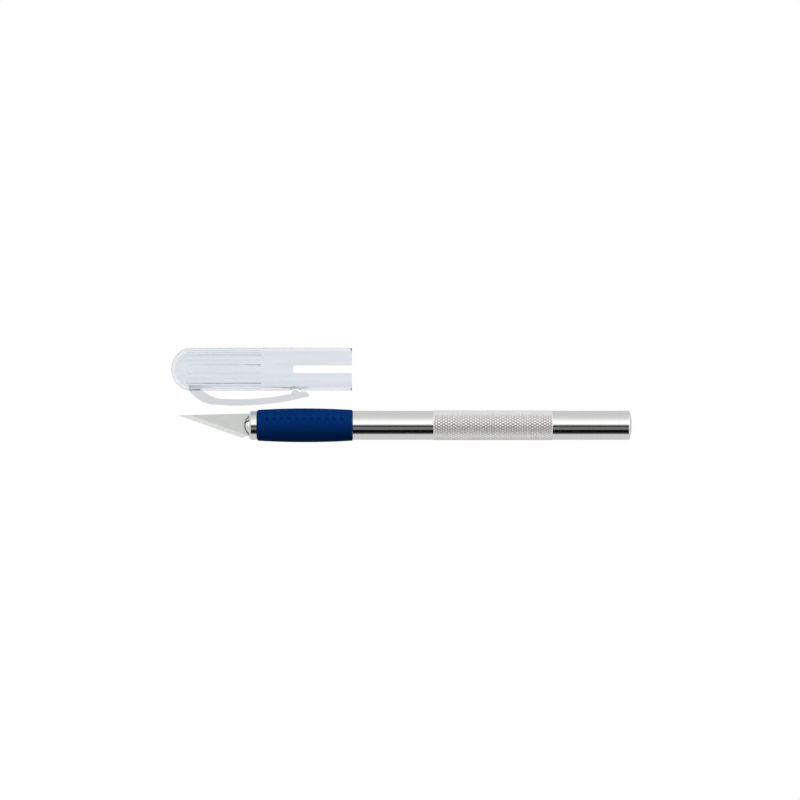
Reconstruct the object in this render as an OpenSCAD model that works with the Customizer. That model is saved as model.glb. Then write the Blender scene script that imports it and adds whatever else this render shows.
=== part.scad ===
// Hobby craft knife with a soft grip, a twist-release collet and a loose cap with a pocket clip.
// The knife lies along X with its blade towards -X. The cap lies beside it, on the plane z = 0.

/* [Layout] */
// Distance between the knife's axis and the cap's axis
lay_gap = 18.2; // [18:0.1:40]
// How far the cap's closed end reaches past the blade's tip
cap_overhang = 2; // [0:0.1:10]

/* [Barrel] */
// Diameter of the bar that the barrel and the nose are turned from
barrel_d = 9.5; // [9.4:0.1:9.8]
// Length of the rear barrel, from the grip to the crowned end
barrel_len = 90.65; // [75:0.05:110]
// Distance from the barrel's front end to the knurled band
knurl_from = 26.4; // [22:0.1:30]
// Length of the knurled band
knurl_len = 38.3; // [20:0.1:40]
// Height of the knurl's crests above the bar
knurl_rise = 0.08; // [0.04:0.02:0.16]
// Radius of the crown on the rear end
crown_r = 14.5; // [8:0.1:30]

/* [Grip] */
// Length of the rubber grip
grip_len = 31.1; // [25:0.1:33]
// Largest diameter of the rubber grip, half way along it
grip_d = 11; // [10.4:0.1:11]
// Diameter of the grip at its two ends
grip_end_d = 10.0; // [9.9:0.1:10.2]
// Outer diameter of the sleeve's thin tube under the grip
tube_d = 8.2; // [7.8:0.1:8.4]

/* [Nose] */
// Length of the bare collar in front of the grip
collar_len = 2.35; // [1.5:0.05:3]
// Length of the bevel round the collar's front edge
nose_bevel = 0.5; // [0.3:0.1:1]

/* [Collet] */
// Radius of the jaws where they enter the nose
jaw_r = 3.26; // [3.2:0.01:3.3]
// How far the domed jaws stand out of the nose
dome_rise = 1.75; // [1.5:0.05:2.2]
// Length of the jaws' cone
cone_len = 4; // [3.8:0.1:4.2]
// Angle from the blade's slot to the second saw cut
cut_angle = 62; // [50:1:130]
// Diameter of the threaded tail
tail_d = 4; // [3.6:0.1:4.1]

/* [Blade] */
// Length of blade in front of the nose
blade_reach = 23.35; // [20:0.05:26]
// Thickness of the blade
blade_t = 0.5; // [0.4:0.05:0.6]
// Width of the blade's tang
tang_w = 4.2; // [3.8:0.1:4.4]
// Length of the blade's tang behind the nose
tang_len = 17; // [14:0.5:18]

/* [Cap] */
// Length of the cap
cap_len = 58.6; // [57:0.1:62]
// Outer diameter of the cap
cap_d = 13.9; // [13.8:0.1:15]
// Thickness of the cap's wall
cap_wall = 1; // [0.9:0.05:1.1]
// Length of the cap's rounded closed end
cap_nose = 6.5; // [4:0.1:8]
// Distance from the closed end to the step where the ribs stop
cap_step = 29.5; // [26:0.1:30]
// Number of ribs inside the closed half
rib_count = 16; // [8:2:20]
// Width of the slots through the open end
slot_w = 2.5; // [2:0.1:3]
// Length of the slots through the open end
slot_len = 19.1; // [12:0.1:22]

/* [Clip] */
// Width of the pocket clip
clip_w = 4; // [3:0.1:5]
// Thickness of the clip's arm
clip_t = 2.05; // [1.8:0.05:2.1]

/* [Hidden] */
$fn = 96;

// Clearances
run_gap = 0.03;     // running fits, on the radius
end_gap = 0.05;     // between the sleeve and the turning barrel, along the axis
seat_gap = 0.04;    // between the jaws and the conical seat, on the radius
root_gap = 0.02;    // between a jaw's root and the shank

// Radii
barrel_r = barrel_d / 2;
grip_r = grip_d / 2;
cap_r = cap_d / 2;
tube_r = tube_d / 2;
tail_r = tail_d / 2;
spigot_r = tube_r - 0.6;
rubber_stretch = 0.05;
grip_corner = 0.8;
grip_steps = 20;
cone_slope = 0.2;
cone_end_r = jaw_r - cone_slope * cone_len;
bore_r = cone_end_r + seat_gap;
shank_r = bore_r - 0.05;
neck_r = shank_r - 0.25;
shank_flat = shank_r - 0.4;
face_r = barrel_r - 0.6;

// Stations along the knife, measured from the blade's tip
nose_x = blade_reach;
grip_x = nose_x + collar_len;
seam_x = grip_x + grip_len;
end_x = seam_x + barrel_len;
root_x = nose_x + tang_len + 1.5;
shank_x = root_x + 8;
tail_x = shank_x + 20;
flats_x = root_x + 2.5;
spigot_len = 5.2;
knurl_x = seam_x + knurl_from;
crown_h = crown_r - sqrt(crown_r * crown_r - barrel_r * barrel_r);
dome_sphere_r = (jaw_r * jaw_r + dome_rise * dome_rise) / (2 * dome_rise);
grip_arc_r = (pow(grip_len / 2, 2) + pow((grip_d - grip_end_d) / 2, 2)) / (grip_d - grip_end_d);

// The frame's origin is under the middle of the whole layout
mid_x = (end_x - cap_overhang) / 2;
knife_y = -(lay_gap + cap_r - grip_r) / 2;
cap_y = knife_y + lay_gap;

// Inside the cap: a wider bore behind the step, and ribs in front of it
cap_bore_r = cap_r - cap_wall + 0.05;
cap_rebate = 0.2;
rib_from = cap_nose - 1.5;
rib_inset = 0.3;
rib_in = 5.12;
rib_w = 0.7;

// Blade outline, as distance from the tip and height above the knife's axis
tip_h = 3.25;
spine_h = 3.8;
heel = [20.5, -3.95];
shoulder_h = -3.45;
shoulder_x = nose_x - 0.1;
edge_angle = atan2(heel[1] - tip_h, heel[0]);
bevel_w = 1.5;
edge_t = 0.03;
far = 60;

// Clip arcs, as distance from the cap's closed end and distance out from the cap's axis
arm_c = [21.2, -79.2];
arm_r = 91;
pivot = [15.2, 10.5];
arm_end = 44.8;
tip_lift = [[42, 7.25], [43.7, 7.25], [arm_end, 8.4]];
ball_at = [40.3, 8.1];
ball_r = 1.35;
strut_out_c = [14.4, 1.6];
strut_out_r = 9.9;
strut_in_c = [18, -3.1];
strut_in_r = 12.8;

function arc(c, r, a0, a1, n) =
    [for (i = [0:n]) let (a = a0 + (a1 - a0) * i / n) [c[0] + r * cos(a), c[1] + r * sin(a)]];

module on_knife() translate([-mid_x, knife_y, grip_r]) children();
module on_cap() translate([-mid_x - cap_overhang, cap_y, cap_r]) children();

// A profile of [radius, station] pairs, turned about the X axis
module turned() rotate([0, 90, 0]) rotate_extrude() children();

// A section in Y and Z, drawn out along X
module along_x(from, len) translate([from, 0, 0]) rotate([90, 0, 90]) linear_extrude(len) children();

// A section in X and outwards from the cap's axis, as thick as the clip
module clip_plate(w) mirror([0, 1, 0]) linear_extrude(w, center = true) children();

module nose_sleeve() color("silver") on_knife() difference() {
    turned() polygon([
        [0, nose_x], [face_r, nose_x], [barrel_r, nose_x + nose_bevel], [barrel_r, grip_x],
        [tube_r, grip_x], [tube_r, seam_x - end_gap], [spigot_r, seam_x - end_gap],
        [spigot_r, seam_x + spigot_len - 0.3], [spigot_r - 0.3, seam_x + spigot_len],
        [0, seam_x + spigot_len]]);
    // conical seat and round bore for the jaws
    turned() polygon([
        [0, nose_x - 1], [bore_r + cone_slope * (cone_len + 1), nose_x - 1],
        [bore_r, nose_x + cone_len], [bore_r, flats_x], [0, flats_x]]);
    // flatted bore that keeps the collet from turning
    along_x(flats_x - 1, far) intersection() {
        circle(r = bore_r);
        square([2 * far, 2 * (shank_flat + run_gap)], center = true);
    }
}

// Radius of the swelling grip at a distance from its middle
function grip_radius(x) = grip_r - grip_arc_r + sqrt(grip_arc_r * grip_arc_r - x * x);

module grip() color([0, 0.17, 0.4]) on_knife() turned() {
    half = grip_len / 2;
    middle = grip_x + half;
    bore = tube_r - rubber_stretch;
    polygon(concat(
        [[bore, grip_x], [grip_radius(half) - grip_corner, grip_x]],
        [for (i = [0:grip_steps]) let (x = -half + grip_corner + (2 * half - grip_corner - end_gap) * i / grip_steps)
            [grip_radius(x), middle + x]],
        [[bore, seam_x - end_gap]]));
}

module rear_barrel() color("silver") on_knife() difference() {
    turned() {
        polygon([
            [0, seam_x], [barrel_r - 0.15, seam_x], [barrel_r, seam_x + 0.15], [barrel_r, knurl_x],
            [barrel_r + knurl_rise, knurl_x + knurl_rise],
            [barrel_r + knurl_rise, knurl_x + knurl_len - knurl_rise],
            [barrel_r, knurl_x + knurl_len], [barrel_r, end_x - crown_h], [0, end_x - crown_h]]);
        intersection() {
            translate([0, end_x - crown_r]) circle(r = crown_r, $fn = 360);
            translate([0, end_x - crown_h]) square([barrel_r, crown_h]);
        }
    }
    // socket for the sleeve's spigot, then the tapped hole for the collet's tail
    turned() polygon([
        [0, seam_x - 1], [spigot_r + run_gap, seam_x - 1],
        [spigot_r + run_gap, seam_x + spigot_len + 0.2],
        [tail_r + run_gap, seam_x + spigot_len + 0.2], [tail_r + run_gap, tail_x + 3],
        [0, tail_x + 3 + tail_r]]);
}

module collet_shank() color("gainsboro") on_knife() {
    along_x(root_x + root_gap, shank_x - root_x - root_gap) intersection() {
        circle(r = shank_r);
        square([2 * far, 2 * shank_flat], center = true);
    }
    turned() polygon([
        [0, shank_x - 1], [tail_r, shank_x - 1], [tail_r, tail_x - 0.5], [tail_r - 0.5, tail_x],
        [0, tail_x]]);
}

module jaw_profile() {
    intersection() {
        translate([0, nose_x - dome_rise + dome_sphere_r]) circle(r = dome_sphere_r, $fn = 180);
        translate([0, nose_x - dome_rise]) square([jaw_r, dome_rise]);
    }
    polygon([
        [0, nose_x], [jaw_r, nose_x], [cone_end_r, nose_x + cone_len],
        [neck_r, nose_x + cone_len + 0.25], [neck_r, root_x], [0, root_x]]);
}

// One of the four jaws, between two saw cuts
module jaw(from, to) color("gainsboro") on_knife() intersection() {
    difference() {
        turned() jaw_profile();
        along_x(0, far) square([far, blade_t + 2 * run_gap], center = true);
        along_x(0, far) rotate(cut_angle) square([far, blade_t], center = true);
    }
    along_x(0, far) polygon(concat([[0, 0]], arc([0, 0], 3 * jaw_r, from, to, 4)));
}

// The wedge of steel that grinding takes off one face of the blade, along the edge
module edge_grind() translate([0, tip_h, 0]) rotate([0, 0, edge_angle]) translate([-far, 0, edge_t / 2])
    rotate([atan2((blade_t - edge_t) / 2, bevel_w), 0, 0])
    translate([0, -far / 2, 0]) cube([3 * far, far, far / 2]);

module blade() color("lightgray") on_knife() difference() {
    linear_extrude(blade_t, center = true) difference() {
        polygon([
            [0, tip_h], heel, [heel[0] + 0.6, heel[1]], [shoulder_x, shoulder_h],
            [shoulder_x, -tang_w / 2], [nose_x + tang_len, -tang_w / 2],
            [nose_x + tang_len, tang_w / 2], [shoulder_x, tang_w / 2], [shoulder_x, spine_h]]);
        // the long hole in the tang
        translate([nose_x + 4, -0.9]) square([8, 1.8]);
        translate([nose_x + 4, 0]) circle(r = 0.9);
        translate([nose_x + 12, 0]) circle(r = 0.9);
    }
    edge_grind();
    mirror([0, 0, 1]) edge_grind();
}

function cap_outline(r, len, from) = [for (t = [0:6:90]) [r * sin(t), from + len * (1 - cos(t))]];

module cap_shell() color([0.86, 0.9, 0.95, 0.5]) on_cap() {
    difference() {
        union() {
            difference() {
                turned() polygon(concat(cap_outline(cap_r, cap_nose, 0), [[cap_r, cap_len], [0, cap_len]]));
                turned() polygon(concat(cap_outline(cap_bore_r - cap_rebate, cap_nose - cap_wall, cap_wall),
                    [[cap_bore_r - cap_rebate, cap_step], [cap_bore_r, cap_step], [cap_bore_r, cap_len + 1],
                    [0, cap_len + 1]]));
            }
            cap_ribs();
            clip_strut();
        }
        // slots through both sides of the open end, with rounded inner corners
        translate([0, 0, -far / 2]) linear_extrude(far) slot_outline();
        // hollow that the clip's ball drops into
        clip_plate(clip_w + 0.8) translate([ball_at[0], cap_r + 2.85]) circle(r = 3.4);
    }
}

module slot_outline() {
    from = cap_len - slot_len;
    corner = 0.7;
    translate([from + corner, -slot_w / 2]) square([slot_len, slot_w]);
    translate([from, corner - slot_w / 2]) square([corner * 2, slot_w - 2 * corner]);
    for (side = [-1, 1]) translate([from + corner, side * (slot_w / 2 - corner)]) circle(r = corner);
}

module cap_ribs() {
    for (i = [0:rib_count - 1]) rotate([(i + 0.5) * 360 / rib_count, 0, 0])
        translate([rib_from, rib_in, -rib_w / 2])
        cube([cap_step - rib_inset - rib_from, cap_r - cap_wall / 2 - rib_in, rib_w]);
}

// The fixed root of the clip, cut round where the arm bends
module clip_strut() difference() {
    clip_plate(clip_w) intersection() {
        polygon(concat(arc(strut_out_c, strut_out_r, 150, 85, 12), arc(strut_in_c, strut_in_r, 102, 130, 8)));
        translate([0, cap_r - cap_wall / 2]) square([pivot[0], far]);
    }
    clip_plate(clip_w + 1) translate(pivot) circle(r = clip_t / 2 + run_gap);
    clip_plate(clip_w + 1) translate([pivot[0] - 0.1, 0]) square([far, far]);
}

module pocket_clip() color([0.86, 0.9, 0.95, 0.7]) on_cap() clip_plate(clip_w) {
    intersection() {
        difference() {
            translate(arm_c) circle(r = arm_r, $fn = 720);
            translate(arm_c) circle(r = arm_r - clip_t, $fn = 720);
        }
        difference() {
            translate([pivot[0], 0]) square([arm_end - pivot[0], far]);
            // the tip's inner side runs level, then rises to the end
            polygon(concat(tip_lift, [[arm_end, 0], [tip_lift[0][0], 0]]));
        }
    }
    translate(pivot) circle(r = clip_t / 2);
    translate(ball_at) circle(r = ball_r);
}

nose_sleeve();
grip();
rear_barrel();
collet_shank();
jaw(0, cut_angle);  // collet_jaw_1
jaw(cut_angle, 180);  // collet_jaw_2
jaw(180, 180 + cut_angle);  // collet_jaw_3
jaw(180 + cut_angle, 360);  // collet_jaw_4
blade();
cap_shell();
pocket_clip();
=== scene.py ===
"""A hobby craft knife with its clear cap beside it, on a plain pale floor.

Shapes are worked out in millimetres, as stations along a piece's own axis: from the blade's tip on the
knife, and from the closed end on the cap. Y and Z are then distances from that axis.
"""

import math

import bmesh
import bpy
import numpy as np
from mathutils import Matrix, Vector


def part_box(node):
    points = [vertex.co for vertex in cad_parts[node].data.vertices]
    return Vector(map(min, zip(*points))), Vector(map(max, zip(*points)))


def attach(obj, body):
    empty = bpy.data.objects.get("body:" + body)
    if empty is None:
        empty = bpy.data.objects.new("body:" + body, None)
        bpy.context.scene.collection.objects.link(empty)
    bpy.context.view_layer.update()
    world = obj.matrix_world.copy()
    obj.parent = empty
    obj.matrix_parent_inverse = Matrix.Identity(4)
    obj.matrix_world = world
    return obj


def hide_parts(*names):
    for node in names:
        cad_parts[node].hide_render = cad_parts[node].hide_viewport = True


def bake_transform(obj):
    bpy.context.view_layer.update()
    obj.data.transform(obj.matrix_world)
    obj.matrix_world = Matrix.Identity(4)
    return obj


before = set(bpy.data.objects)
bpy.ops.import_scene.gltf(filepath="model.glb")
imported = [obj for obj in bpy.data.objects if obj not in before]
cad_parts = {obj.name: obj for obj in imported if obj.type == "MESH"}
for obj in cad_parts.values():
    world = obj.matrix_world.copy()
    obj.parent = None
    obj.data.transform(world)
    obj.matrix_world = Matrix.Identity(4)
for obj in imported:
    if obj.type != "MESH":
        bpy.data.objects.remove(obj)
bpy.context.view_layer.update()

MM = 0.001
TURN = 2 * math.pi
SAME_POINT = 0.001  # points closer than this are one


def box_mm(node):
    low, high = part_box(node)
    return np.array(low) / MM, np.array(high) / MM


# Places and sizes that come from the frame. Stations start at the tip or at the cap's closed end.
barrel_low, barrel_high = box_mm("rear_barrel")
sleeve_low, sleeve_high = box_mm("nose_sleeve")
grip_low, grip_high = box_mm("grip")
blade_low, blade_high = box_mm("blade")
cap_low, cap_high = box_mm("cap_shell")
shank_low, shank_high = box_mm("collet_shank")

axis_y, axis_z = (barrel_low[1:] + barrel_high[1:]) / 2
KNIFE = np.array([blade_low[0], axis_y, axis_z])
CAP_R = (cap_high[2] - cap_low[2]) / 2
CAP = np.array([cap_low[0], cap_high[1] - CAP_R, cap_low[2] + CAP_R])
CAP_LEN = cap_high[0] - cap_low[0]
BAR_R = (sleeve_high[2] - sleeve_low[2]) / 2
CREST_R = (barrel_high[2] - barrel_low[2]) / 2
GRIP_R = (grip_high[2] - grip_low[2]) / 2
NOSE_X = sleeve_low[0] - KNIFE[0]
GRIP_X = grip_low[0] - KNIFE[0]
SEAM_X = barrel_low[0] - KNIFE[0]
END_X = barrel_high[0] - KNIFE[0]
ROOT_GAP = 0.02  # between the jaws' roots and the shank
ROOT_X = shank_low[0] - KNIFE[0] - ROOT_GAP
TAIL_X = shank_high[0] - KNIFE[0]

# Sizes that the boxes don't say, as in the CAD model
TUBE_R = 4.1  # the sleeve's tube under the grip
SEAM_GAP = 0.05  # between the grip and the barrel
SPIGOT_R = 3.5
SPIGOT_LEN = 5.2
RUN_GAP = 0.03
JAW_R = 3.26
DOME_RISE = 1.75
CONE_LEN = 4.0
CONE_END_R = 2.46
BORE_R = 2.5
SHANK_R = 2.45
SHANK_FLAT = 2.05
NECK_R = 2.2
TAIL_R = 2.0
THREAD_PITCH = 0.7
BLADE_T = 0.5
CUT_ANGLE = math.radians(62)


# ---------------------------------------------------------------- mesh tools

class Shape:
    """Points in millimetres and faces, from which one piece's mesh is made."""

    def __init__(self):
        self.points = []
        self.faces = []
        self.finishes = []

    def add(self, points):
        """Adds points and returns their numbers, as one row."""
        start = len(self.points)
        self.points.extend(tuple(float(v) for v in p) for p in points)
        return list(range(start, len(self.points)))

    def face(self, corners, finish=0):
        """Adds a face. finish is its place in the piece's list of materials."""
        self.faces.append(tuple(corners))
        self.finishes.append(finish)

    def join(self, a, b, closed=True, skip=()):
        """Faces between two rows. A row of one point makes a fan. skip holds the columns left open."""
        columns = max(len(a), len(b))
        for i in range(columns if closed else columns - 1):
            if i in skip:
                continue
            n = (i + 1) % columns
            if len(a) == 1:
                self.face((a[0], b[n], b[i]))
            elif len(b) == 1:
                self.face((a[i], a[n], b[0]))
            else:
                self.face((a[i], a[n], b[n], b[i]))

    def join_all(self, rows, **options):
        for a, b in zip(rows, rows[1:]):
            self.join(a, b, **options)

    def build(self, name, origin, materials, sharp_deg=32):
        """Makes the object, closed and with its normals outward."""
        mesh = bpy.data.meshes.new(name)
        placed = (np.array(self.points) + origin) * MM
        mesh.from_pydata(placed.tolist(), [], self.faces)
        mesh.polygons.foreach_set("material_index", self.finishes)
        for made in materials:
            mesh.materials.append(made)
        work = bmesh.new()
        work.from_mesh(mesh)
        bmesh.ops.remove_doubles(work, verts=work.verts, dist=SAME_POINT * MM)
        bmesh.ops.recalc_face_normals(work, faces=work.faces)
        work.to_mesh(mesh)
        work.free()
        mesh.shade_smooth()
        mesh.set_sharp_from_angle(angle=math.radians(sharp_deg))
        built = bpy.data.objects.new(name, mesh)
        bpy.context.scene.collection.objects.link(built)
        return built


def ring(station, radius, angles):
    """Points round the axis. Angles run from +Y towards +Z."""
    return [(station, radius * math.cos(a), radius * math.sin(a)) for a in angles]


def turned_rows(shape, profile, angles):
    """Rows for a profile of (station, radius) pairs. A radius of 0 is a single point on the axis."""
    return [shape.add(ring(s, r, angles) if r else [(s, 0, 0)]) for s, r in profile]


def even_angles(count):
    return [TURN * i / count for i in range(count)]


def arc_points(centre, radius, start_deg, end_deg, steps):
    """(station, radius) pairs along an arc. Angles run from +station towards +radius."""
    turns = [math.radians(start_deg + (end_deg - start_deg) * i / steps) for i in range(steps + 1)]
    return [(centre[0] + radius * math.cos(a), centre[1] + radius * math.sin(a)) for a in turns]


def smooth_step(t):
    t = min(1.0, max(0.0, t))
    return t * t * (3 - 2 * t)


def piece(built, body, slot, *nodes):
    """Fixes a finished piece to its CAD body, in place of its CAD nodes."""
    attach(built, body)
    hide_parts(*nodes)


# ---------------------------------------------------------------- materials

NOISE_SPAN = (0.3, 0.7)  # where most of a noise texture's values lie
COLOUR_SPAN = (0.35, 0.65)  # where a noise goes from one colour to the other
RING_GRAIN = (9, 0.02, 0.02)  # fine rings round the knife's axis
PAINTED_SHADE_SPAN = (1.6, 2.2)  # distance from the blade's slot over which the jaws' painted shade fades out


def new_material(name, **inputs):
    """A material whose Principled shader has these values, and the parts that its texture nodes hang on."""
    made = bpy.data.materials.new(name)
    made.use_nodes = True
    tree = made.node_tree
    shader = tree.nodes["Principled BSDF"]
    for key, value in inputs.items():
        shader.inputs[key.replace("_", " ")].default_value = value
    return made, tree, shader


def add_node(tree, kind, **values):
    """A new node. Each value is one of its settings or, with _ for a space, one of its inputs."""
    node = tree.nodes.new(kind)
    for key, value in values.items():
        if hasattr(node, key):
            setattr(node, key, value)
        else:
            node.inputs[key.replace("_", " ")].default_value = value
    return node


def grain(tree, stretch, detail=4, roughness=0.55):
    """Noise in the piece's own space. stretch is the number of features per millimetre along X, Y and Z."""
    coords = add_node(tree, "ShaderNodeTexCoord")
    mapping = add_node(tree, "ShaderNodeMapping", Scale=[v / MM for v in stretch])
    noise = add_node(tree, "ShaderNodeTexNoise", Scale=1.0, Detail=detail, Roughness=roughness)
    tree.links.new(coords.outputs["Object"], mapping.inputs["Vector"])
    tree.links.new(mapping.outputs["Vector"], noise.inputs["Vector"])
    return noise.outputs["Fac"]


def two_colours(tree, source, low, high):
    """The noise as a colour from low to high."""
    ramp = add_node(tree, "ShaderNodeValToRGB")
    for element, place, colour in zip(ramp.color_ramp.elements, COLOUR_SPAN, (low, high)):
        element.position = place
        element.color = (*colour, 1)
    tree.links.new(source, ramp.inputs["Fac"])
    return ramp.outputs["Color"]


def chosen(tree, factor, start, end):
    """One of two colours: end where factor is 1. Each is an output or a plain level."""
    pick = add_node(tree, "ShaderNodeMix", data_type="RGBA")
    tree.links.new(factor, pick.inputs["Factor"])
    for socket, value in ((pick.inputs[6], start), (pick.inputs[7], end)):
        if isinstance(value, float):
            socket.default_value = (value, value, value, 1)
        else:
            tree.links.new(value, socket)
    return pick.outputs[2]


def spread(tree, source, low, high):
    """The noise as a number from low to high."""
    span = {"From_Min": NOISE_SPAN[0], "From_Max": NOISE_SPAN[1], "To_Min": low, "To_Max": high}
    scaled = add_node(tree, "ShaderNodeMapRange", **span)
    tree.links.new(source, scaled.inputs["Value"])
    return scaled.outputs["Result"]


def bumps(tree, shader, source, depth_mm):
    bump = add_node(tree, "ShaderNodeBump", Strength=1.0, Distance=depth_mm * MM)
    tree.links.new(source, bump.inputs["Height"])
    tree.links.new(bump.outputs["Normal"], shader.inputs["Normal"])


def turned_metal(name, low, high, rough):
    """Bright turned aluminium: fine rings round the axis."""
    made, tree, shader = new_material(name, Metallic=1.0)
    rings = grain(tree, RING_GRAIN)
    tree.links.new(two_colours(tree, rings, low, high), shader.inputs["Base Color"])
    tree.links.new(spread(tree, rings, *rough), shader.inputs["Roughness"])
    bumps(tree, shader, rings, 0.0006)
    return made


def jaw_metal():
    """The collet's aluminium, darkened towards the blade's slot as painted shade where the jaws meet the
    blade.
    """
    made, tree, shader = new_material("jaw_aluminium", Metallic=1.0)
    coords = add_node(tree, "ShaderNodeTexCoord")
    axes = add_node(tree, "ShaderNodeSeparateXYZ")
    tree.links.new(coords.outputs["Object"], axes.inputs["Vector"])
    height = add_node(tree, "ShaderNodeMath", operation="SUBTRACT")
    height.inputs[1].default_value = axis_z * MM
    tree.links.new(axes.outputs["Z"], height.inputs[0])
    away = add_node(tree, "ShaderNodeMath", operation="ABSOLUTE")
    tree.links.new(height.outputs[0], away.inputs[0])
    # Painted shade: the colour turns dark near the plane of the blade's slot, for the shade where the jaws
    # meet the blade.
    unshaded = add_node(
        tree, "ShaderNodeMapRange", interpolation_type="SMOOTHSTEP",
        From_Min=PAINTED_SHADE_SPAN[0] * MM, From_Max=PAINTED_SHADE_SPAN[1] * MM)
    tree.links.new(away.outputs[0], unshaded.inputs["Value"])
    rings = grain(tree, RING_GRAIN)
    bright = two_colours(tree, rings, (0.84, 0.84, 0.83), (0.9, 0.9, 0.89))
    # painted shade: dark aluminium, for the shade where the jaws meet the blade
    painted_shade = two_colours(tree, rings, (0.06, 0.068, 0.06), (0.1, 0.11, 0.1))
    tree.links.new(chosen(tree, unshaded.outputs["Result"], painted_shade, bright), shader.inputs["Base Color"])
    tree.links.new(spread(tree, rings, 0.16, 0.24), shader.inputs["Roughness"])
    bumps(tree, shader, rings, 0.0006)
    return made


def ground_steel(name, low, high, rough, stretch):
    """Steel with grinding lines along one direction."""
    made, tree, shader = new_material(name, Metallic=1.0)
    lines = grain(tree, stretch)
    tree.links.new(two_colours(tree, lines, low, high), shader.inputs["Base Color"])
    tree.links.new(spread(tree, lines, *rough), shader.inputs["Roughness"])
    bumps(tree, shader, lines, 0.001)
    return made


def satin_rubber():
    made, tree, shader = new_material("satin_rubber", Specular_IOR_Level=0.02)
    skin = grain(tree, (6, 6, 6), detail=6, roughness=0.7)
    colour = two_colours(tree, skin, (0.0003, 0.028, 0.155), (0.001, 0.038, 0.195))
    tree.links.new(colour, shader.inputs["Base Color"])
    tree.links.new(spread(tree, skin, 0.5, 0.66), shader.inputs["Roughness"])
    bumps(tree, shader, skin, 0.012)
    return made


def clear_plastic(name, low, high, rough):
    """Moulded polypropylene: clear, with a slightly clouded, uneven skin."""
    made, tree, shader = new_material(name, IOR=1.18, Transmission_Weight=1.0)
    flow = grain(tree, (0.04, 0.5, 0.5))
    tree.links.new(two_colours(tree, flow, low, high), shader.inputs["Base Color"])
    tree.links.new(spread(tree, flow, *rough), shader.inputs["Roughness"])
    bumps(tree, shader, flow, 0.003)
    return made


BARREL_METAL = turned_metal("turned_aluminium", (0.81, 0.81, 0.805), (0.86, 0.86, 0.855), (0.06, 0.09))
KNURL_METAL = turned_metal("knurled_aluminium", (0.91, 0.905, 0.895), (0.97, 0.965, 0.955), (0.4, 0.46))
# The grooves' walls are darker than the flat tops: painted shade in the grooves.
KNURL_WALL = turned_metal("knurl_grooves", (0.6, 0.59, 0.58), (0.69, 0.68, 0.67), (0.22, 0.28))
JAW_METAL = jaw_metal()
COLLET_METAL = turned_metal("collet_aluminium", (0.72, 0.72, 0.71), (0.79, 0.79, 0.78), (0.16, 0.24))
BLADE_FLAT = ground_steel(
    "blade_flat", (0.73, 0.745, 0.725), (0.79, 0.805, 0.785), rough=(0.34, 0.42), stretch=(0.4, 7, 1))
BLADE_BEVEL = ground_steel(
    "blade_bevel", (0.92, 0.93, 0.91), (0.97, 0.98, 0.96), rough=(0.45, 0.55), stretch=(7, 0.6, 1))
BLADE_EDGE = ground_steel(
    "blade_edge", (0.9, 0.9, 0.9), (0.95, 0.95, 0.95), rough=(0.4, 0.5), stretch=(9, 0.6, 1))
RUBBER = satin_rubber()
PLASTIC = clear_plastic("clear_plastic", (0.82, 0.845, 0.876), (0.875, 0.897, 0.926), (0.1, 0.14))
CLIP_PLASTIC = clear_plastic("clip_plastic", (0.64, 0.665, 0.695), (0.68, 0.7, 0.73), (0.3, 0.4))


# ---------------------------------------------------------------- rear barrel

KNURL_FROM = 26.4
KNURL_LEN = 38.3
KNURL_CELLS = 32
KNURL_ROWS = 48
KNURL_TOP = 0.52  # share of a diamond that its flat top takes
KNURL_ROOT_R = 4.6
KNURL_RUN_OUT = 0.15
KNURL_TOPS, KNURL_WALLS = 1, 2  # places in the barrel's list of materials
EDGE_BREAK = 0.15
EVEN_RING = 0.1  # how far from an edge a ring stands that keeps smooth shading even
SOCKET_SPARE = 0.2  # socket beyond the sleeve's spigot
TAP_SPARE = 3  # tapped hole beyond the collet's tail
CROWN_R = 14.5
RIM_R = 0.4  # rounding between the bar and the crown


def knurl(shape, start, length):
    """Diamonds in staggered rows, each a low pyramid with a flat top. Returns the first and last rows."""
    half_cell = TURN / KNURL_CELLS / 2
    columns = 2 * KNURL_CELLS
    step = length / KNURL_ROWS

    def point(row, column, radius, along=0.0, across=0.0):
        a = half_cell * (column + across)
        return start + step * (row + along), radius * math.cos(a), radius * math.sin(a)

    roots, tops = {}, {}
    for row in range(KNURL_ROWS + 1):
        for column in range(columns):
            if (row + column) % 2:
                roots[row, column] = shape.add([point(row, column, KNURL_ROOT_R)])[0]
                continue
            sides = {"low": (0, -KNURL_TOP), "high": (0, KNURL_TOP)}
            if row > 0:
                sides["front"] = (-KNURL_TOP, 0)
            if row < KNURL_ROWS:
                sides["rear"] = (KNURL_TOP, 0)
            for side, (along, across) in sides.items():
                tops[row, column, side] = shape.add([point(row, column, CREST_R, along, across)])[0]

    for row in range(KNURL_ROWS + 1):
        for column in range(row % 2, columns, 2):
            corners = {
                "front": roots.get((row - 1, column)),
                "low": roots[row, (column - 1) % columns],
                "rear": roots.get((row + 1, column)),
                "high": roots[row, (column + 1) % columns],
            }
            order = ["front", "low", "rear", "high"]
            there = [side for side in order if corners[side] is not None]
            shape.face([tops[row, column, side] for side in there], KNURL_TOPS)
            for a, b in zip(order, order[1:] + order[:1]):
                if corners[a] is not None and corners[b] is not None:
                    wall = (corners[a], corners[b], tops[row, column, b], tops[row, column, a])
                    shape.face(wall, KNURL_WALLS)

    def border(row):
        marks = []
        for column in range(0, columns, 2):
            marks += [tops[row, column, "low"], tops[row, column, "high"], roots[row, column + 1]]
        return marks

    return border(0), border(KNURL_ROWS)


def knurl_angles():
    """The angles of a knurl's first and last row, for the plain rings on either side."""
    cell = TURN / KNURL_CELLS
    parts = (-KNURL_TOP, KNURL_TOP, 1)
    return [cell * i + part * cell / 2 for i in range(KNURL_CELLS) for part in parts]


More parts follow.
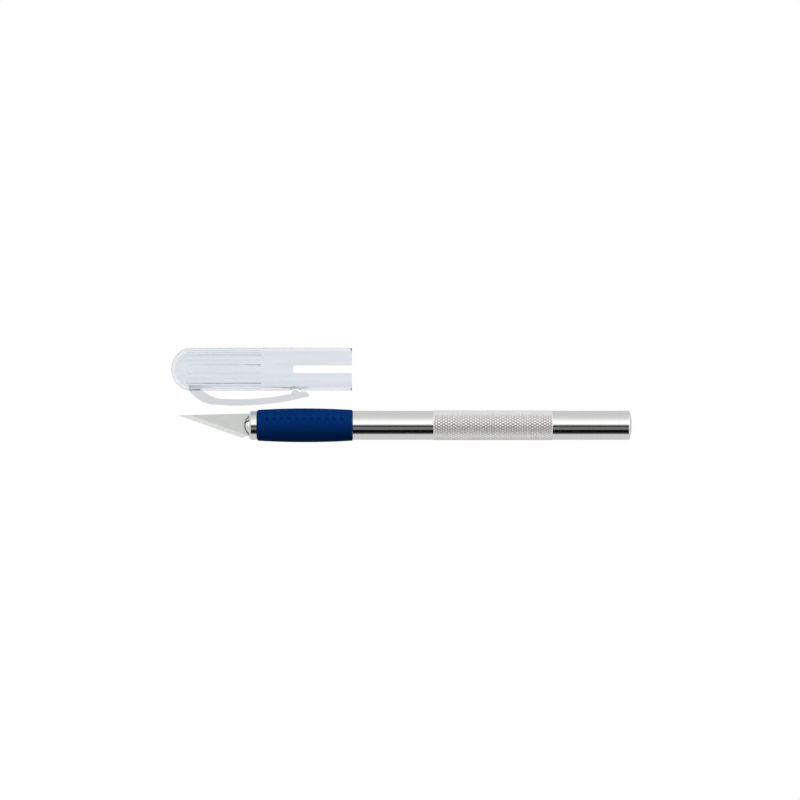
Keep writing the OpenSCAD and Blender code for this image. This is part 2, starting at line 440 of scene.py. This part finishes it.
def make_barrel():
    """Tapped hole and socket, then the outside up to the knurl, the knurl, and the rear with its crown."""
    shape = Shape()
    angles = knurl_angles()
    knurl_x = SEAM_X + KNURL_FROM
    knurl_end = knurl_x + KNURL_LEN
    socket_end = SEAM_X + SPIGOT_LEN + SOCKET_SPARE
    tap_r = TAIL_R + RUN_GAP
    tap_end = TAIL_X + TAP_SPARE
    crown_at = END_X - CROWN_R
    rim_at = crown_at + math.sqrt((CROWN_R - RIM_R) ** 2 - (BAR_R - RIM_R) ** 2)
    crown_span = math.degrees(math.asin((BAR_R - RIM_R) / (CROWN_R - RIM_R)))
    front = turned_rows(shape, [
        (tap_end + tap_r, 0), (tap_end, tap_r), (socket_end, tap_r), (socket_end, SPIGOT_R + RUN_GAP),
        (SEAM_X, SPIGOT_R + RUN_GAP), (SEAM_X, BAR_R - EDGE_BREAK), (SEAM_X + EDGE_BREAK, BAR_R),
        (SEAM_X + 2 * EDGE_BREAK, BAR_R), (knurl_x - 2 * KNURL_RUN_OUT, BAR_R),
        (knurl_x - KNURL_RUN_OUT, BAR_R)], angles)
    rim = arc_points((rim_at, BAR_R - RIM_R), RIM_R, 90, crown_span, 7)
    crown = arc_points((crown_at, 0), CROWN_R, crown_span, 0, 10)[1:-1]
    rear = turned_rows(shape, [
        (knurl_end + KNURL_RUN_OUT, BAR_R), (knurl_end + 2 * KNURL_RUN_OUT, BAR_R),
        (rim_at - EVEN_RING, BAR_R), *rim, *crown, (END_X, 0)], angles)
    shape.join_all(front)
    first, last = knurl(shape, knurl_x, KNURL_LEN)
    shape.join(front[-1], first)
    shape.join(last, rear[0])
    shape.join_all(rear)
    built = shape.build("rear_barrel_turned", KNIFE, [BARREL_METAL, KNURL_METAL, KNURL_WALL])
    piece(built, "barrel", "bright_aluminium", "rear_barrel")


# ---------------------------------------------------------------- nose sleeve

FACE_R = BAR_R - 0.6
NOSE_BEVEL = 0.5
FLATS_FROM = 2.5  # flats in the bore, from the jaws' roots
SPIGOT_BREAK = 0.3


def make_sleeve():
    shape = Shape()
    angles = even_angles(128)
    flats_x = ROOT_X + FLATS_FROM
    seat_r = BORE_R + JAW_R - CONE_END_R
    outer = turned_rows(shape, [
        (NOSE_X, FACE_R), (NOSE_X + NOSE_BEVEL, BAR_R), (NOSE_X + NOSE_BEVEL + EVEN_RING, BAR_R),
        (GRIP_X, BAR_R), (GRIP_X, TUBE_R), (SEAM_X - SEAM_GAP, TUBE_R), (SEAM_X - SEAM_GAP, SPIGOT_R),
        (SEAM_X + SPIGOT_LEN - SPIGOT_BREAK, SPIGOT_R),
        (SEAM_X + SPIGOT_LEN, SPIGOT_R - SPIGOT_BREAK)], angles)
    flat = SHANK_FLAT + RUN_GAP

    def bore_row(station, flatted):
        points = ring(station, BORE_R, angles)
        if flatted:
            points = [(s, y, min(flat, max(-flat, z))) for s, y, z in points]
        return shape.add(points)

    inner = [bore_row(SEAM_X + SPIGOT_LEN, True), bore_row(flats_x, True), bore_row(flats_x, False),
             bore_row(NOSE_X + CONE_LEN, False), shape.add(ring(NOSE_X, seat_r, angles))]
    shape.join_all([*outer, *inner, outer[0]])
    built = shape.build("nose_sleeve_turned", KNIFE, [BARREL_METAL])
    piece(built, "holder", "bright_aluminium", "nose_sleeve")


# ---------------------------------------------------------------- rubber grip

DIMPLE_ROWS = ((68, 0.5), (44, 0.28), (20, 0.28))  # degrees up from the side, and depth
DIMPLES = 11
DIMPLE_PITCH = 2.43
DIMPLE_FROM = 3.3  # from the grip's front end
DIMPLE_R = 0.72
DIMPLE_SLOPE = 0.7  # share of a dimple's radius that its side takes
GRIP_END_R = 5.0
GRIP_BORE_GAP = 0.005
GRIP_CORNER = 0.9
GRIP_REAR_BREAK = 0.08
GRIP_STEP = 0.12  # between rows
FINE_ANGLES = (12, 76, 1.25)  # degrees, over the rows of dimples
COARSE_ANGLES = (76, 192, 4)


def grip_radius(station):
    """The grip swells from its ends to its middle on one long arc."""
    half = (SEAM_X - GRIP_X) / 2
    arc_r = (half ** 2 + (GRIP_R - GRIP_END_R) ** 2) / (2 * (GRIP_R - GRIP_END_R))
    return GRIP_R - arc_r + math.sqrt(arc_r ** 2 - (station - GRIP_X - half) ** 2)


def dimple(station, angle, radius):
    """Depth of the dimples at a place on the grip."""
    number = min(DIMPLES - 1, max(0, round((station - GRIP_X - DIMPLE_FROM) / DIMPLE_PITCH)))
    along = station - GRIP_X - DIMPLE_FROM - number * DIMPLE_PITCH
    if abs(along) > DIMPLE_R:
        return 0.0
    depth = 0.0
    for row, deepest in DIMPLE_ROWS:
        off = (angle - math.radians(row) + TURN / 4) % (TURN / 2) - TURN / 4
        away = math.hypot(along, off * radius) / DIMPLE_R
        if away < 1:
            depth = deepest * smooth_step((1 - away) / DIMPLE_SLOPE)
    return depth


def make_grip():
    shape = Shape()
    half_turn = [*np.arange(*FINE_ANGLES).tolist(), *np.arange(*COARSE_ANGLES).tolist()]
    angles = [math.radians(a + turn) for turn in (0, 180) for a in half_turn]
    bore = TUBE_R + GRIP_BORE_GAP
    rear = SEAM_X - SEAM_GAP
    swell_x = GRIP_X + GRIP_CORNER
    front_r = grip_radius(swell_x) - GRIP_CORNER
    rows = turned_rows(shape, [(rear, bore), (GRIP_X, bore), (GRIP_X, (bore + front_r) / 2)], angles)
    rows += turned_rows(shape, arc_points((swell_x, front_r), GRIP_CORNER, 180, 95, 8), angles)
    swell_len = rear - GRIP_REAR_BREAK - swell_x
    count = int(swell_len / GRIP_STEP)
    for i in range(count + 1):
        station = swell_x + swell_len * i / count
        radius = grip_radius(station)
        points = []
        for a in angles:
            r = radius - dimple(station, a, radius)
            points.append((station, r * math.cos(a), r * math.sin(a)))
        rows.append(shape.add(points))
    rows += turned_rows(shape, [(rear, grip_radius(rear) - GRIP_REAR_BREAK)], angles)
    shape.join_all([*rows, rows[0]])
    built = shape.build("rubber_grip", KNIFE, [RUBBER], sharp_deg=60)
    piece(built, "holder", "grip_rubber", "grip")


# ---------------------------------------------------------------- collet

APEX_GAP = 0.03  # from a jaw's inner corner to the start of its dome
NECK_STEP = 0.25
JAW_BREAK = 0.05
DOME_ROWS = 14
JAW_COLUMNS = 20
SHANK_LEN = 8
THREAD_START = 0.6
THREAD_STEPS = 8  # rows to a turn
THREAD_FADE = (0.7, 0.5)  # over what lengths the thread rises at its front and sinks at its rear
THREAD_ROOT_R = TAIL_R - 0.42
TAIL_BREAK = 0.6


def section_corner(from_angle, to_angle, from_gap, to_gap):
    """Where two faces cut parallel to two directions meet, each its own gap away from the axis."""
    a = np.array([-math.sin(from_angle), math.cos(from_angle)])
    b = np.array([math.sin(to_angle), -math.cos(to_angle)])
    return np.linalg.solve(np.array([a, b]), np.array([from_gap, to_gap]))


def jaw_section(radius, from_angle, to_angle, from_gap, to_gap):
    """Points across a jaw's round face, from one saw cut to the other."""
    start = from_angle + math.asin(min(1, from_gap / radius))
    end = to_angle - math.asin(min(1, to_gap / radius))
    turns = [start + (end - start) * i / JAW_COLUMNS for i in range(JAW_COLUMNS + 1)]
    return [(radius * math.cos(a), radius * math.sin(a)) for a in turns]


def make_jaw(number, from_angle, to_angle, from_gap, to_gap):
    shape = Shape()
    apex = section_corner(from_angle, to_angle, from_gap, to_gap)
    apex_r = float(np.hypot(*apex)) + APEX_GAP
    sphere_r = (JAW_R ** 2 + DOME_RISE ** 2) / (2 * DOME_RISE)
    profile = []
    for i in range(DOME_ROWS + 1):
        r = apex_r + (JAW_R - apex_r) * math.sin(TURN / 4 * i / DOME_ROWS)
        profile.append((NOSE_X - DOME_RISE + sphere_r - math.sqrt(sphere_r ** 2 - r ** 2), r))
    cone_end = NOSE_X + CONE_LEN
    profile += [(cone_end, CONE_END_R), (cone_end + NECK_STEP, NECK_R), (ROOT_X, NECK_R)]
    rows, spine = [], []
    for s, r in profile:
        section = jaw_section(r, from_angle, to_angle, from_gap, to_gap)
        rows.append(shape.add([(s, y, z) for y, z in section]))
        spine.append(shape.add([(s, *apex)]))
    shape.join_all(rows, closed=False)
    for i in range(len(rows) - 1):
        shape.face((spine[i][0], rows[i][0], rows[i + 1][0], spine[i + 1][0]))
        shape.face((spine[i][0], spine[i + 1][0], rows[i + 1][-1], rows[i][-1]))
    shape.face([spine[0][0], *rows[0]])
    shape.face([spine[-1][0], *rows[-1]])
    built = shape.build(f"collet_jaw_{number}_turned", KNIFE, [JAW_METAL])
    bevel = built.modifiers.new("edge_break", "BEVEL")
    bevel.width = JAW_BREAK * MM
    bevel.segments = 2
    bevel.limit_method = "ANGLE"
    bevel.angle_limit = math.radians(40)
    bevel.harden_normals = True
    piece(built, f"jaw_{number}", "collet_aluminium", f"collet_jaw_{number}")


def make_shank():
    """The collet's flatted shank and its threaded tail."""
    shape = Shape()
    angles = even_angles(64)
    front_x = ROOT_X + ROOT_GAP
    shank_x = ROOT_X + SHANK_LEN
    rows = [shape.add([(front_x, 0, 0)])]
    for station in (front_x, shank_x):
        points = ring(station, SHANK_R, angles)
        rows.append(shape.add([(s, y, min(SHANK_FLAT, max(-SHANK_FLAT, z))) for s, y, z in points]))
    thread_from, thread_to = shank_x + THREAD_START, TAIL_X - TAIL_BREAK / 2
    rows += turned_rows(shape, [(shank_x, THREAD_ROOT_R), (thread_from, THREAD_ROOT_R)], angles)
    steps = int((thread_to - thread_from) / THREAD_PITCH * THREAD_STEPS)
    for i in range(1, steps + 1):
        station = thread_from + (thread_to - thread_from) * i / steps
        fade = smooth_step((station - thread_from) / THREAD_FADE[0])
        fade *= smooth_step((thread_to - station) / THREAD_FADE[1])
        points = []
        for a in angles:
            phase = (station / THREAD_PITCH - a / TURN) % 1
            height = min(1, max(0, 1.15 - 2.6 * abs(phase - 0.5)))  # a trapezium: crest, flanks and root
            r = THREAD_ROOT_R + (TAIL_R - THREAD_ROOT_R) * height * fade
            points.append((station, r * math.cos(a), r * math.sin(a)))
        rows.append(shape.add(points))
    rows += turned_rows(shape, [
        (TAIL_X - TAIL_BREAK / 3, THREAD_ROOT_R), (TAIL_X, TAIL_R - TAIL_BREAK), (TAIL_X, 0)], angles)
    shape.join_all(rows)
    built = shape.build("collet_shank_threaded", KNIFE, [COLLET_METAL], sharp_deg=40)
    piece(built, "collet", "collet_aluminium", "collet_shank")


def make_collet():
    blade_gap = BLADE_T / 2 + RUN_GAP
    cut_gap = BLADE_T / 2
    half = TURN / 2
    make_jaw(1, 0, CUT_ANGLE, blade_gap, cut_gap)
    make_jaw(2, CUT_ANGLE, half, cut_gap, blade_gap)
    make_jaw(3, half, half + CUT_ANGLE, blade_gap, cut_gap)
    make_jaw(4, half + CUT_ANGLE, TURN, cut_gap, blade_gap)
    make_shank()


# ---------------------------------------------------------------- blade

# Heights are over the knife's axis. HEEL and SHOULDER are (station, height).
TIP_H = 3.25
SPINE_H = 3.8
HEEL = (20.5, -3.95)
HEEL_FLAT = 0.6
SHOULDER = (NOSE_X - 0.1, -3.45)
TANG_W = 4.2
TANG_END = blade_high[0] - KNIFE[0]
TANG_HOLE = (NOSE_X + 4, NOSE_X + 12, 0.9)  # centres of its round ends, and their radius
EDGE_T = 0.03
BEVEL_W = 1.38
MICRO_W = 0.32  # the honed edge on the bevel
MICRO_EDGE = 0.004  # half the thickness that honing leaves


def slot_hole(start, end, radius, steps=10):
    """A long round-ended hole, as points round its outline."""
    rear = [(end + radius * math.cos(a), radius * math.sin(a))
            for a in np.linspace(-TURN / 4, TURN / 4, steps)]
    front = [(start + radius * math.cos(a), radius * math.sin(a))
             for a in np.linspace(TURN / 4, 3 * TURN / 4, steps)]
    return rear + front


def grind(work, side, width, depth, finish):
    """Takes a wedge off one face of the blade along its edge, depth thick at the edge itself."""
    slope = math.atan2(HEEL[1] - TIP_H, HEEL[0])
    along = np.array([math.cos(slope), math.sin(slope), 0])
    inward = np.array([-along[1], along[0], 0])
    top = BLADE_T / 2
    at_bevel = np.array([0, TIP_H, side * top]) + inward * width
    rise = np.array([0, 0, side]) * depth + inward * width
    normal = np.cross(along, rise)
    normal *= side * np.sign(normal[2]) / np.linalg.norm(normal)
    origin = (at_bevel + KNIFE) * MM
    cut = bmesh.ops.bisect_plane(
        work, geom=work.verts[:] + work.edges[:] + work.faces[:], dist=1e-9,
        plane_co=origin, plane_no=normal, clear_outer=True)
    edges = [e for e in cut["geom_cut"] if isinstance(e, bmesh.types.BMEdge)]
    for made in bmesh.ops.holes_fill(work, edges=edges, sides=0)["faces"]:
        made.material_index = finish


def ordered_mesh(work, name):
    """A mesh with the points and faces of work in a fixed order, because filling and cutting leave none."""
    points = sorted(work.verts, key=lambda v: tuple(round(c / MM, 4) for c in v.co))
    number = {vert: i for i, vert in enumerate(points)}
    faces = []
    for face in work.faces:
        loop = [number[vert] for vert in face.verts]
        first = loop.index(min(loop))
        faces.append((loop[first:] + loop[:first], face.material_index))
    faces.sort()
    mesh = bpy.data.meshes.new(name)
    mesh.from_pydata([tuple(vert.co) for vert in points], [], [loop for loop, finish in faces])
    mesh.polygons.foreach_set("material_index", [finish for loop, finish in faces])
    return mesh


def make_blade():
    outline = [(0, TIP_H), HEEL, (HEEL[0] + HEEL_FLAT, HEEL[1]), SHOULDER, (SHOULDER[0], -TANG_W / 2),
               (TANG_END, -TANG_W / 2), (TANG_END, TANG_W / 2), (SHOULDER[0], TANG_W / 2),
               (SHOULDER[0], SPINE_H)]
    work = bmesh.new()
    edges = []
    for loop in (outline, slot_hole(*TANG_HOLE)):
        flat = [(np.array([x, y, -BLADE_T / 2]) + KNIFE) * MM for x, y in loop]
        points = [work.verts.new(at) for at in flat]
        edges += [work.edges.new((a, b)) for a, b in zip(points, points[1:] + points[:1])]
    bmesh.ops.triangle_fill(work, edges=edges, use_beauty=True)
    lifted = bmesh.ops.extrude_face_region(work, geom=work.faces[:])
    top = [v for v in lifted["geom"] if isinstance(v, bmesh.types.BMVert)]
    bmesh.ops.translate(work, verts=top, vec=(0, 0, BLADE_T * MM))
    bmesh.ops.recalc_face_normals(work, faces=work.faces)
    for side in (1, -1):
        grind(work, side, BEVEL_W, BLADE_T / 2 - EDGE_T, 1)
    for side in (1, -1):
        grind(work, side, MICRO_W, BLADE_T / 2 - MICRO_EDGE, 2)
    bmesh.ops.recalc_face_normals(work, faces=work.faces)
    mesh = ordered_mesh(work, "blade_ground")
    work.free()
    for made in (BLADE_FLAT, BLADE_BEVEL, BLADE_EDGE):
        mesh.materials.append(made)
    built = bpy.data.objects.new("blade_ground", mesh)
    bpy.context.scene.collection.objects.link(built)
    piece(built, "blade", "blade_steel", "blade")


# ---------------------------------------------------------------- cap

CAP_NOSE = 6.5
CAP_FRONT_R = 5.75
CAP_REAR_R = 6.0
CAP_END_WALL = 1.0
STEP_X = 29.5
RIB_FROM = 5.0
RIB_TO = 29.2
RIB_R = 5.3
RIB_HALF_W = 0.35
RIB_CREST_HALF_W = 0.2
RIBS = 16
SLOT_HALF_W = 1.25
SLOT_CORNER = 0.7
SLOT_FROM = CAP_LEN - 19.1
SLOT_COLUMNS = 6
SIDE_COLUMNS = 42
LEAD_IN = 1.0  # flare of the bore at the mouth
LEAD_IN_RISE = 0.3
RIM_BREAK = 0.12
BALL_AT = (40.3, 8.1)
BALL_R = 1.35
RECESS_R = 3.4
RECESS_AT = BALL_AT[0], CAP_R + 2.85
RECESS_HALF_W = 2.4
RECESS_ROWS = (38.4, 42.61, 0.2)  # from, to and spacing of the rows that cross the hollow


def slot_half_width(station):
    """Half the slot's width at a station. In front of the slot it is where the grid's columns stay."""
    into = min(1.0, max(0.0, (station - SLOT_FROM) / SLOT_CORNER))
    return SLOT_HALF_W - SLOT_CORNER + SLOT_CORNER * math.sqrt(1 - (1 - into) ** 2)


def slotted_angles(station, radius):
    """Columns round the cap with one on each side of each slot, which face up and down."""
    edge = math.asin(slot_half_width(station) / radius)
    angles = []
    for middle in (TURN / 4, 3 * TURN / 4):
        angles += np.linspace(middle - edge, middle + edge, SLOT_COLUMNS + 1).tolist()
        angles += np.linspace(middle + edge, middle + TURN / 2 - edge, SIDE_COLUMNS + 1)[1:-1].tolist()
    return angles


def slot_gaps():
    """The columns whose faces a slot leaves out."""
    second = SLOT_COLUMNS + SIDE_COLUMNS
    return set(range(SLOT_COLUMNS)) | set(range(second, second + SLOT_COLUMNS))


def rib_row(station, radius, ribbed):
    """A row round the front of the bore, six columns to each rib, and as many where there is no rib."""
    period = TURN / RIBS
    base = math.asin(RIB_HALF_W / CAP_FRONT_R)
    crest_r = RIB_R if ribbed else radius
    crest = math.asin(RIB_CREST_HALF_W / RIB_R) if ribbed else base / 3
    points = []
    for i in range(RIBS):
        middle = period * (i + 3.5)  # the row starts beside the upper slot, as slotted_angles does
        for a, r in ((crest, crest_r), (base, radius), (period * 0.385, radius), (period * 0.615, radius),
                     (period - base, radius), (period - crest, crest_r)):
            points += ring(station, r, [middle + a])
    return points


def recessed(points):
    """Presses the hollow for the clip's ball into the side that faces the knife."""
    moved = []
    for s, y, z in points:
        off = s - RECESS_AT[0]
        if y < 0 and abs(z) < RECESS_HALF_W and abs(off) < RECESS_R:
            y = max(y, math.sqrt(RECESS_R ** 2 - off ** 2) - RECESS_AT[1])
        moved.append((s, y, z))
    return moved


def make_cap():
    shape = Shape()
    gaps = slot_gaps()
    slot_corner_end = SLOT_FROM + SLOT_CORNER
    recess_rows = np.arange(*RECESS_ROWS).round(4).tolist()
    slot_rows = [
        *np.linspace(SLOT_FROM, slot_corner_end, 7).round(4).tolist(),
        *[s for s in recess_rows if s > slot_corner_end + 0.1], 45, 48, 51, 54, 56.5,
        round(CAP_LEN - LEAD_IN, 4), round(CAP_LEN - 0.15, 4), CAP_LEN]

    def outer_radius(station):
        return CAP_R - RIM_BREAK if station == CAP_LEN else CAP_R

    def bore_radius(station):
        return CAP_REAR_R + LEAD_IN_RISE * max(0.0, (station - CAP_LEN + LEAD_IN) / LEAD_IN)

    # outside, from the closed end
    columns = slotted_angles(0, CAP_R)
    dome_turns = [math.radians(a) for a in range(8, 73, 8)]
    outside = [shape.add([(0, 0, 0)])]
    for t in [*dome_turns, math.radians(80), math.radians(86)]:
        outside.append(shape.add(ring(CAP_NOSE * (1 - math.cos(t)), CAP_R * math.sin(t), columns)))
    for s in [CAP_NOSE, *range(9, 37, 3), 38, *[s for s in recess_rows if s < SLOT_FROM]]:
        outside.append(shape.add(recessed(ring(s, CAP_R, slotted_angles(s, CAP_R)))))
    outer = [shape.add(recessed(ring(s, outer_radius(s), slotted_angles(s, outer_radius(s)))))
             for s in slot_rows]
    shape.join_all([*outside, outer[0]])
    shape.join_all(outer, skip=gaps)

    # inside, from the closed end: a domed end, ribs, a step, then the wider rear bore
    dome_len = CAP_NOSE - CAP_END_WALL
    inside = [shape.add([(CAP_END_WALL, 0, 0)])]
    for t in dome_turns:
        inside.append(shape.add(rib_row(
            CAP_END_WALL + dome_len * (1 - math.cos(t)), CAP_FRONT_R * math.sin(t), False)))
    start_turn = math.acos(1 - (RIB_FROM - CAP_END_WALL) / dome_len)
    start_r = CAP_FRONT_R * math.sin(start_turn)
    inside.append(shape.add(rib_row(RIB_FROM, start_r, False)))
    inside.append(shape.add(rib_row(RIB_FROM, start_r, True)))
    for s in (CAP_NOSE, 12, 18, 24, RIB_TO):
        inside.append(shape.add(rib_row(s, CAP_FRONT_R, True)))
    for s, r in ((RIB_TO, CAP_FRONT_R), (STEP_X, CAP_FRONT_R), (STEP_X, CAP_REAR_R)):
        inside.append(shape.add(rib_row(s, r, False)))
    for s in (32.5, 35, 37.5, 38.8):
        inside.append(shape.add(ring(s, CAP_REAR_R, slotted_angles(s, CAP_REAR_R))))
    inner = [shape.add(ring(s, bore_radius(s), slotted_angles(s, bore_radius(s)))) for s in slot_rows]
    shape.join_all([*inside, inner[0]])
    shape.join_all(inner, skip=gaps)

    # the mouth's rim and the slots' walls
    shape.join(outer[-1], inner[-1], skip=gaps)
    for first in (0, SLOT_COLUMNS + SIDE_COLUMNS):
        last = first + SLOT_COLUMNS
        for column in (first, last):
            outer_edge, inner_edge = [[row[column] for row in rows] for rows in (outer, inner)]
            shape.join(outer_edge, inner_edge, closed=False)
        shape.join(outer[0][first:last + 1], inner[0][first:last + 1], closed=False)
    built = shape.build("cap_shell_clear", CAP, [PLASTIC], sharp_deg=40)
    piece(built, "cap", "clear_plastic", "cap_shell")


# ---------------------------------------------------------------- pocket clip

CLIP_HALF_W = 2.0
ARM_CENTRE = (21.2, -79.2)
ARM_R = 91.0
ARM_T = 2.05
ROOT_OUT = ((14.4, 1.6), 9.9)  # centre and radius of the root's outer side
ROOT_IN = ((18.0, -3.1), 12.8)
ROOT_LEAN = (3.6, 9.5)  # how far a section's inner point leads at the root, and over what length that fades
ROOT_FROM = 5.7
BEND = (12.2, 18.2)  # where the root runs into the arm
TIP = (42.0, 43.7)  # where the tip's inner side is level
TIP_LOW = 7.25
TIP_SLOPE = 1.05
CLIP_CORNER = 0.45


def arc_height(circle, station):
    (x, y), r = circle
    return y + math.sqrt(r ** 2 - (station - x) ** 2)


def clip_edge(station, root, arm_r):
    """Height of one side of the clip over the cap's axis: the root's arc, running into the arm's."""
    if station < BEND[0]:
        return arc_height(root, station)
    arm = arc_height((ARM_CENTRE, arm_r), station)
    if station > BEND[1]:
        return arm
    share = smooth_step((station - BEND[0]) / (BEND[1] - BEND[0]))
    return (1 - share) * arc_height(root, station) + share * arm


def clip_under(station):
    """Height of the clip's inner side, with the ball and the lifted tip."""
    height = clip_edge(station, ROOT_IN, ARM_R - ARM_T)
    if station > TIP[0]:
        height = TIP_LOW + max(0.0, station - TIP[1]) * TIP_SLOPE
    off = station - BALL_AT[0]
    if abs(off) < BALL_R:
        height = min(height, BALL_AT[1] - math.sqrt(BALL_R ** 2 - off ** 2))
    return height


def clip_section(outer, inner, half_w, corner, steps=3):
    """Points round a rounded oblong that stands between an outer and an inner point."""
    outer, inner = np.array(outer), np.array(inner)
    middle, up = (outer + inner) / 2, (outer - inner) / 2
    half_h = float(np.hypot(*up))
    up = up / half_h
    corner = min(corner, half_h * 0.95)  # the section thins to a point at the tip
    points = []
    for turn, (side, top) in enumerate(((1, 1), (-1, 1), (-1, -1), (1, -1))):
        for i in range(steps + 1):
            a = TURN / 4 * (turn + i / steps)
            z = side * (half_w - corner) + corner * math.cos(a)
            h = top * (half_h - corner) + corner * math.sin(a)
            at = middle + up * h
            points.append((at[0], -at[1], z))
    return points


def make_clip():
    shape = Shape()
    rows = []
    root = [ROOT_FROM + 0.4 * i for i in range(32)]
    arm = np.arange(18.5, 38.5, 1.25).tolist()
    ball = np.arange(38.9, 41.8, 0.15).tolist()
    tip = [42.0, 42.5, 43.1, 43.7, 44.0, 44.3, 44.55, 44.75]
    for s in [*root, *arm, *ball, *tip]:
        under = s + ROOT_LEAN[0] * (1 - smooth_step((s - ROOT_FROM) / ROOT_LEAN[1]))
        outer = (s, clip_edge(s, ROOT_OUT, ARM_R))
        inner = (under, clip_under(under))
        rows.append(shape.add(clip_section(outer, inner, CLIP_HALF_W, CLIP_CORNER)))
    shape.join_all(rows)
    shape.face(rows[0])
    shape.face(rows[-1])
    built = shape.build("pocket_clip_clear", CAP, [CLIP_PLASTIC], sharp_deg=50)
    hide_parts("pocket_clip")

    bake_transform(built)


make_barrel()
make_sleeve()
make_grip()
make_collet()
make_blade()
make_cap()
make_clip()


# ---------------------------------------------------------------- stage, light and camera

# Brightness of the floor to the camera, in reflections and on matt surfaces
FLOOR_SEEN = 1.0
FLOOR_LIGHT = 0.68
FLOOR_SOFT = 0.12
FLOOR_HALF = 3.0  # metres
FLOOR_DROP = 0.02  # mm under the knife, so that nothing touches it
# What reflections see square to the knife: (degrees from straight up, brightness), positive towards the
# cap's side. The low values are the dark card that draws the stripe along the barrel.
SKY = (
    (-180, 0.7), (-90, 0.7), (-84, 0.78), (-78, 0.68), (-72, 0.34), (-66, 0.06), (-58, 0.004),
    (-50, 0.002), (-42, 0.004), (-35, 0.08), (-26, 0.24), (-18, 0.17), (-10, 0.04), (-5, 0.04),
    (0, 0.2), (5, 0.85), (10, 1.22), (28, 1.2), (38, 1.08), (47, 0.94), (56, 0.8), (66, 0.74),
    (84, 0.7), (95, 0.68), (180, 0.7))
# The same for matt surfaces such as rubber: one broad light on the cap's side
SOFT_SKY = ((-180, 0.1), (-90, 0.03), (-40, 0.03), (0, 0.42), (40, 1.5), (80, 1.3), (110, 0.4), (180, 0.1))
# What reflections see towards either end of the knife
SKY_ALONG = ((-180, 0.7), (-90, 0.7), (-45, 0.75), (-10, 1.02), (25, 1.25), (90, 1.1), (180, 0.7))
BANDS_WIDTH = (0.08, 0.22)  # how far a direction leans along the knife while SKY fades to SKY_ALONG
SKY_THROUGH = 0.95  # brightness seen through the clear cap


def by_ray(tree, soft, gloss, through, seen):
    """A brightness for each kind of ray: on matt surfaces, in reflections, through plastic, and seen."""
    path = tree.nodes.new("ShaderNodeLightPath")
    level = chosen(tree, path.outputs["Is Glossy Ray"], soft, gloss)
    level = chosen(tree, path.outputs["Is Transmission Ray"], level, through)
    return chosen(tree, path.outputs["Is Camera Ray"], level, seen)


def make_floor():
    made = bpy.data.materials.new("floor")
    made.use_nodes = True
    tree = made.node_tree
    tree.nodes.clear()
    glow = tree.nodes.new("ShaderNodeEmission")
    output = tree.nodes.new("ShaderNodeOutputMaterial")
    tree.links.new(by_ray(tree, FLOOR_SOFT, FLOOR_LIGHT, FLOOR_SEEN, FLOOR_SEEN), glow.inputs["Color"])
    tree.links.new(glow.outputs["Emission"], output.inputs["Surface"])
    corners = [(x * FLOOR_HALF, y * FLOOR_HALF, 0) for x, y in ((-1, -1), (1, -1), (1, 1), (-1, 1))]
    mesh = bpy.data.meshes.new("floor")
    mesh.from_pydata(corners, [], [(0, 1, 2, 3)])
    mesh.materials.append(made)
    floor = bpy.data.objects.new("floor", mesh)
    floor.location.z = -FLOOR_DROP * MM
    bpy.context.scene.collection.objects.link(floor)


def banded(tree, share, bands):
    """Brightness by direction round the knife's axis. share runs from 0 at -180 degrees to 1 at 180."""
    node = tree.nodes.new("ShaderNodeValToRGB")
    ramp = node.color_ramp
    while len(ramp.elements) < len(bands):
        ramp.elements.new(0.5)
    for element, (degrees, level) in zip(ramp.elements, bands):
        element.position = (degrees + 180) / 360
        element.color = (level, level, level, 1)
    tree.links.new(share, node.inputs["Fac"])
    return node.outputs["Color"]


def make_sky():
    """Surroundings that change with the angle round the knife, and differ towards its ends."""
    world = bpy.data.worlds.new("studio")
    bpy.context.scene.world = world
    world.use_nodes = True
    tree = world.node_tree
    coords = tree.nodes.new("ShaderNodeTexCoord")
    axes = tree.nodes.new("ShaderNodeSeparateXYZ")
    angle = add_node(tree, "ShaderNodeMath", operation="ARCTAN2")
    share = add_node(tree, "ShaderNodeMapRange", From_Min=-math.pi, From_Max=math.pi)
    away = add_node(tree, "ShaderNodeMath", operation="ABSOLUTE")
    along = add_node(
        tree, "ShaderNodeMapRange", interpolation_type="SMOOTHSTEP",
        From_Min=BANDS_WIDTH[0], From_Max=BANDS_WIDTH[1])
    tree.links.new(coords.outputs["Generated"], axes.inputs["Vector"])
    tree.links.new(axes.outputs["Y"], angle.inputs[0])
    tree.links.new(axes.outputs["Z"], angle.inputs[1])
    tree.links.new(angle.outputs[0], share.inputs["Value"])
    tree.links.new(axes.outputs["X"], away.inputs[0])
    tree.links.new(away.outputs[0], along.inputs["Value"])
    across_sky, along_sky, soft = [
        banded(tree, share.outputs["Result"], bands) for bands in (SKY, SKY_ALONG, SOFT_SKY)]
    gloss = chosen(tree, along.outputs["Result"], across_sky, along_sky)
    background = tree.nodes["Background"]
    tree.links.new(by_ray(tree, soft, gloss, SKY_THROUGH, FLOOR_SEEN), background.inputs["Color"])


CAMERA_AT = (-0.525 * MM, -1.615 * MM, 1.809)  # metres
CAMERA_LENS = 250
CAMERA_SENSOR = 36


def make_camera():
    """Straight down from 1.8 m. The frame is 260 mm wide, and the pair lies a little above its middle."""
    camera = bpy.data.cameras.new("camera")
    camera.lens = CAMERA_LENS
    camera.sensor_width = CAMERA_SENSOR
    camera.clip_end = 10
    holder = bpy.data.objects.new("camera", camera)
    holder.location = CAMERA_AT
    bpy.context.scene.collection.objects.link(holder)
    bpy.context.scene.camera = holder


make_floor()
make_sky()
make_camera()
bpy.context.scene.view_settings.view_transform = "Standard"
